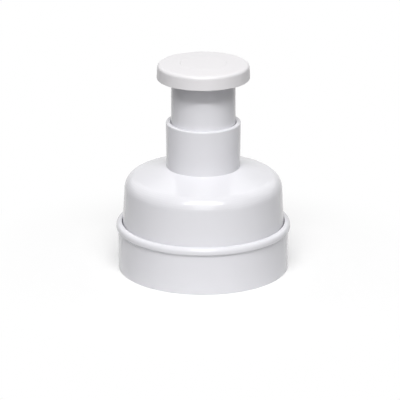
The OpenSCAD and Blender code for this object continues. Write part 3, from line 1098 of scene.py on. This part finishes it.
@dataclass
class PressPlate(SubAssembly):
    """The press plate with the keyed tube screwed to it and the feed nut in that tube.

    Attributes:
        feed: The nut's thread.
        nut_r: Corner radius of the nut.
        bevel: Width of its broken corners.
        margin: Plain length of its bore at each end.
        screw: The screws in the tube's flange.
        screw_count: Their number.
        screw_at: Their distance from the axis.
        screw_first: Angle of the first of them.
        flange_t: Thickness of the flange that they hold.
    """

    feed: FeedThread = field(default_factory=FeedThread)
    nut_r: float = 10.9
    bevel: float = 0.5
    margin: float = 0.3
    screw: PanScrew = PanScrew(1.95, 7.0, 3.6, 2.2, 1.6)
    screw_count: int = 3
    screw_at: float = 17.6
    screw_first: float = 60.0
    flange_t: float = 3.5

    body = "plate"
    finishes = {"press_plate": PLATE_WHITE, "lift_tube": ACETAL_NATURAL}

    def nut(self) -> Object:
        """Make the feed nut, a hexagon with the thread's other half in it.

        Returns:
            The nut.
        """
        low, high = span("feed_nut")
        feed = self.feed
        outside, bevelled = hexagon(self.nut_r), hexagon(self.nut_r - self.bevel)
        mouth = feed.crest_r + feed.play
        bore = Thread(mouth, -feed.depth, feed.lead, crest=0.24, shift=0.5)
        rings = [
            Ring(low, mouth),
            Ring(low, bevelled),
            Ring(low + self.bevel, outside),
            Ring(high - self.bevel, outside),
            Ring(high, bevelled),
            Ring(high, mouth),
            *reversed(bore.rings(low + self.margin, high - self.margin, feed.columns)),
        ]
        return turned("feed_nut_threaded", rings, feed.columns, Lathe.HOOP)

    def build(self) -> None:
        """Make the nut and the three screws."""
        self.stand_in(self.nut(), "feed_nut", ACETAL_NATURAL)
        flange_z = span("lift_tube")[0] + self.flange_t
        master = place(self.screw.make("plate_screw"), flange_z * MM)
        screws = ring_of("plate_screws_threaded", master, self.screw_count, self.screw_at * MM,
                         self.screw_first, SCREW_STEEL)
        self.stand_in(screws, "plate_screws", SCREW_STEEL)


# Studio


@dataclass(frozen=True)
class Softbox:
    """An area lamp that points at a place on the object.

    Attributes:
        name: The lamp's name.
        azimuth: Where it stands, in degrees round from the camera's side; positive is to the right.
        elevation: Its height above the horizon, in degrees.
        size: Width and height of its face, in metres.
        strength: Radiance of its face, where 1 is seen as plain white.
        distance: From the place that it points at, in metres.
    """

    name: str
    azimuth: float
    elevation: float
    size: tuple[float, float]
    strength: float
    distance: float = 1.6

    def place(self, aim: Vector) -> None:
        """Make the lamp.

        Args:
            aim: The point that it faces.
        """
        data = bpy.data.lights.new(self.name, "AREA")
        data.shape = "RECTANGLE"
        data.size, data.size_y = self.size
        data.energy = self.strength * math.pi * self.size[0] * self.size[1]
        lamp = bpy.data.objects.new(self.name, data)
        turn, rise = math.radians(self.azimuth), math.radians(self.elevation)
        away = Vector((math.sin(turn) * math.cos(rise), -math.cos(turn) * math.cos(rise), math.sin(rise)))
        lamp.location = aim + self.distance * away
        lamp.rotation_euler = away.to_track_quat("Z", "Y").to_euler()
        lamp.visible_camera = False
        bpy.context.scene.collection.objects.link(lamp)


@dataclass
class Studio:
    """A pale floor, soft lamps and a long lens, set round the press, in metres.

    Attributes:
        floor_half: Half the floor's side.
        eye: Where the camera stands.
        aim: The point that it looks at.
        lens: Its focal length, in millimetres.
        film: Width of its film, in millimetres.
        far: Distance up to which it sees.
        painted_bounce_r: Distance up to which the floor's colour, for the rays that light the press, is
            pale, and from which it is painted black, so that it throws no light back.
        painted_bounce_share: That pale colour, the share of the light that it throws back near the press.
        shadow_r: Distance up to which the shadow shows in full, and from which it has faded.
        shadow_depth: Share of the floor's white that the lamps make near the press.
        lit: The point that the lamps face.
    """

    floor_half: float = 6.0
    eye: tuple[float, float, float] = (0.0, -2.18115, 0.8048)
    aim: tuple[float, float, float] = (-0.00245, 0.0, 0.0516)
    lens: float = 278.55
    film: float = 36.0
    far: float = 50.0
    painted_bounce_r: tuple[float, float] = (0.12, 0.30)
    painted_bounce_share: float = 0.65
    shadow_r: tuple[float, float] = (0.07, 0.20)
    shadow_depth: float = 0.6
    lit: tuple[float, float, float] = (0.0, 0.0, 0.08)

    def seen(self, tree: NodeTree) -> Node:
        """Add nodes that give 1 to the rays that show the background, and 0 to those that light.

        Args:
            tree: The node tree to add to.

        Returns:
            The node that gives 1 to the camera's rays and those mirrored or let through on the way.
        """
        ray = add_node(tree, "ShaderNodeLightPath").outputs
        mirrored = add_node(tree, "ShaderNodeMath",
                            {0: ray["Is Glossy Ray"], 1: ray["Is Transmission Ray"]}, operation="MAXIMUM")
        return add_node(tree, "ShaderNodeMath", {0: ray["Is Camera Ray"], 1: mirrored},
                        operation="MAXIMUM")

    def floor(self) -> None:
        """Make the floor, which the camera sees white outside the object's shadow."""
        mesh = bpy.data.meshes.new("floor")
        h = self.floor_half
        mesh.from_pydata([(-h, -h, 0), (h, -h, 0), (h, h, 0), (-h, h, 0)], [], [(0, 1, 2, 3)])
        floor = bpy.data.objects.new("floor", mesh)
        bpy.context.scene.collection.objects.link(floor)
        material, tree = new_material("matt_paper_sweep")
        # painted shade: for lighting rays the floor fades from pale close by to black farther off
        place = add_node(tree, "ShaderNodeTexCoord").outputs["Object"]
        away = add_node(tree, "ShaderNodeVectorMath", {0: place}, operation="LENGTH").outputs["Value"]
        near = add_node(tree, "ShaderNodeMapRange",
                        {"Value": away, "From Min": self.painted_bounce_r[0], "From Max": self.painted_bounce_r[1],
                         "To Min": self.painted_bounce_share, "To Max": 0.0}, interpolation_type="SMOOTHSTEP")
        paper = add_node(tree, "ShaderNodeBsdfDiffuse", {"Color": near})
        # it is seen white, and lit by the lamps near the press only, where it carries the shadow
        lift = add_node(tree, "ShaderNodeMapRange",
                        {"Value": away, "From Min": self.shadow_r[0], "From Max": self.shadow_r[1],
                         "To Min": 1 - self.shadow_depth, "To Max": 1.0}, interpolation_type="SMOOTHSTEP")
        shown = add_node(tree, "ShaderNodeBsdfDiffuse", {"Color": (1, 1, 1, 1)})
        glow = add_node(tree, "ShaderNodeEmission", {"Color": (1, 1, 1, 1), "Strength": 1.0})
        lifted = add_node(tree, "ShaderNodeMixShader", {0: lift, 1: shown, 2: glow})
        both = add_node(tree, "ShaderNodeMixShader", {0: self.seen(tree), 1: paper, 2: lifted})
        add_node(tree, "ShaderNodeOutputMaterial", {"Surface": both})
        mesh.materials.append(material)

    def backdrop(self) -> None:
        """Make the world, which looks white and lights nothing by itself."""
        world = bpy.data.worlds.new("studio_room")
        bpy.context.scene.world = world
        world.use_nodes = True
        tree = world.node_tree
        tree.nodes.clear()
        white = add_node(tree, "ShaderNodeBackground", {"Color": (1, 1, 1, 1), "Strength": 1.0})
        dark = add_node(tree, "ShaderNodeBackground", {"Color": (1, 1, 1, 1), "Strength": 0.0})
        both = add_node(tree, "ShaderNodeMixShader", {0: self.seen(tree), 1: dark, 2: white})
        add_node(tree, "ShaderNodeOutputWorld", {"Surface": both})

    def lamps(self) -> None:
        """Make the lamps."""
        boxes = [
            # a long narrow box high in front draws the crisp line across the dome's shoulder
            Softbox("key_strip", 0, 52.5, (1.3, 0.1), 37.0),
            # wide boxes round it fill the front softly, from the table's height up
            Softbox("high_front", 0, 62, (0.8, 0.6), 5.3),
            Softbox("middle_front", 0, 35, (0.7, 0.6), 2.4),
            Softbox("low_front", 0, 10, (0.75, 0.6), 2.6),
            # large ones behind keep the far faces readable, and are too dim to mirror as spots
            Softbox("high_back", 180, 62, (1.6, 1.0), 0.3),
            Softbox("left_back", -130, 35, (1.6, 1.2), 0.8),
            Softbox("right_back", 130, 35, (1.6, 1.2), 0.8),
        ]
        for box in boxes:
            box.place(Vector(self.lit))

    def camera(self) -> None:
        """Make the camera and make it the scene's own."""
        data = bpy.data.cameras.new("view")
        data.lens = self.lens
        data.sensor_width = self.film
        data.clip_end = self.far
        camera = bpy.data.objects.new("view", data)
        eye, aim = Vector(self.eye), Vector(self.aim)
        camera.location = eye
        camera.rotation_euler = (eye - aim).to_track_quat("Z", "Y").to_euler()
        bpy.context.scene.collection.objects.link(camera)
        bpy.context.scene.camera = camera

    def build(self) -> None:
        """Set the whole studio up."""
        self.floor()
        self.backdrop()
        self.lamps()
        self.camera()
        bpy.context.scene.view_settings.view_transform = "Standard"


def main() -> None:
    """Build and dress every sub-assembly in order, and report each piece."""
    logging.basicConfig(level=logging.INFO, format="%(message)s")
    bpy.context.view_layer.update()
    for part in (Cup(), Housing(), Plunger(), Knob(), PressPlate()):
        part.dress()
        part.build()
    Studio().build()


if __name__ == "__main__":
    main()
